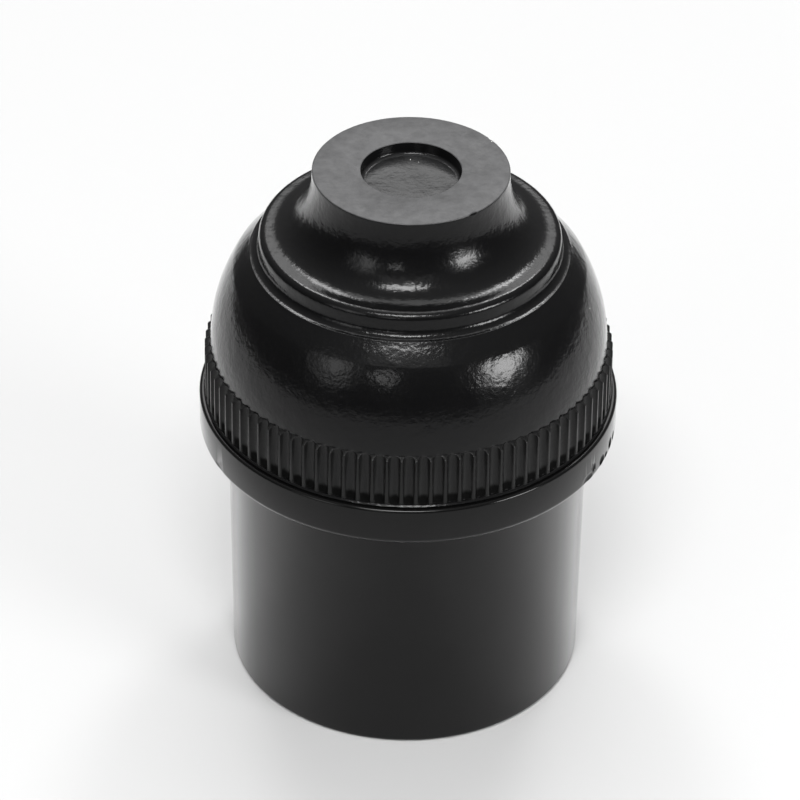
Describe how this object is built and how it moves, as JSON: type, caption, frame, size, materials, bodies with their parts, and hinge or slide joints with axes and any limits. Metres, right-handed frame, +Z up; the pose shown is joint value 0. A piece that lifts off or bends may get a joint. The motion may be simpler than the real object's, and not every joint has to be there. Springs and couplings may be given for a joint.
{
  "type": "lamp holder",
  "caption": "Pendant lamp holder for an E27 screw lamp: ribbed domed cap with a cord recess, smooth skirt with collar, porcelain insert with sprung contact and screw terminals.",
  "frame": {"origin": "centre of the skirt's rim, on the plane that the holder stands on", "axes": "+Z up the common axis towards the cord entry, +X from the live to the neutral terminal"},
  "size_m": [0.047, 0.047, 0.0644],
  "materials": {
    "moulding": "black pressed phenolic, glossy on the dome and satin on the skirt",
    "porcelain": "white glazed electrical porcelain",
    "brass": "bright drawn and turned brass",
    "spring_bronze": "rolled phosphor bronze strip",
    "plated_steel": "zinc plated steel"
  },
  "bodies": {
    "cap": {"cap": "moulding"},
    "insert": {"insert": "porcelain", "lamp_sleeve": "brass", "contact_leaf": "spring_bronze", "contact_screw": "plated_steel", "contact_lock_washer": "plated_steel", "live_terminal": "brass", "neutral_terminal": "brass", "neutral_sleeve_screw": "plated_steel", "front_sleeve_screw": "plated_steel", "front_lock_washer": "plated_steel", "front_nut": "plated_steel", "rear_sleeve_screw": "plated_steel", "rear_lock_washer": "plated_steel", "rear_nut": "plated_steel"},
    "skirt": {"skirt": "moulding"},
    "contact": {"contact_button": "brass"},
    "live_clamp": {"live_clamp_plate": "plated_steel"},
    "live_screw": {"live_clamp_screw": "brass"},
    "neutral_clamp": {"neutral_clamp_plate": "plated_steel"},
    "neutral_screw": {"neutral_clamp_screw": "brass"}
  },
  "joints": [
    {"name": "insert_drop", "type": "slide", "parent": "cap", "child": "insert", "axis": [0, 0, -1], "range_m": [0, 0.006]},
    {"name": "skirt_turn", "type": "hinge", "parent": "insert", "child": "skirt", "pos_m": [0, 0, 0.035], "axis": [0, 0, -1], "range_deg": [0, 1080]},
    {"name": "contact_press", "type": "slide", "parent": "insert", "child": "contact", "axis": [0, 0, 1], "range_m": [0, 0.0015], "stiffness_N_per_m": 1500, "deforming": ["contact_leaf"]},
    {"name": "live_clamp_lift", "type": "slide", "parent": "insert", "child": "live_clamp", "axis": [0, 0, 1], "range_m": [0, 0.0018]},
    {"name": "live_screw_turn", "type": "hinge", "parent": "live_clamp", "child": "live_screw", "pos_m": [-0.011, 0, 0.041], "axis": [0, 0, 1], "range_deg": [0, 1080]},
    {"name": "neutral_clamp_lift", "type": "slide", "parent": "insert", "child": "neutral_clamp", "axis": [0, 0, 1], "range_m": [0, 0.0018]},
    {"name": "neutral_screw_turn", "type": "hinge", "parent": "neutral_clamp", "child": "neutral_screw", "pos_m": [0.011, 0, 0.041], "axis": [0, 0, 1], "range_deg": [0, 1080]}
  ],
  "couplings": [
    {"joint": "insert_drop", "follows": "skirt_turn", "m_per_rad": 0.00031831},
    {"joint": "live_screw_turn", "follows": "live_clamp_lift", "rad_per_m": 10472},
    {"joint": "neutral_screw_turn", "follows": "neutral_clamp_lift", "rad_per_m": 10472}
  ]
}
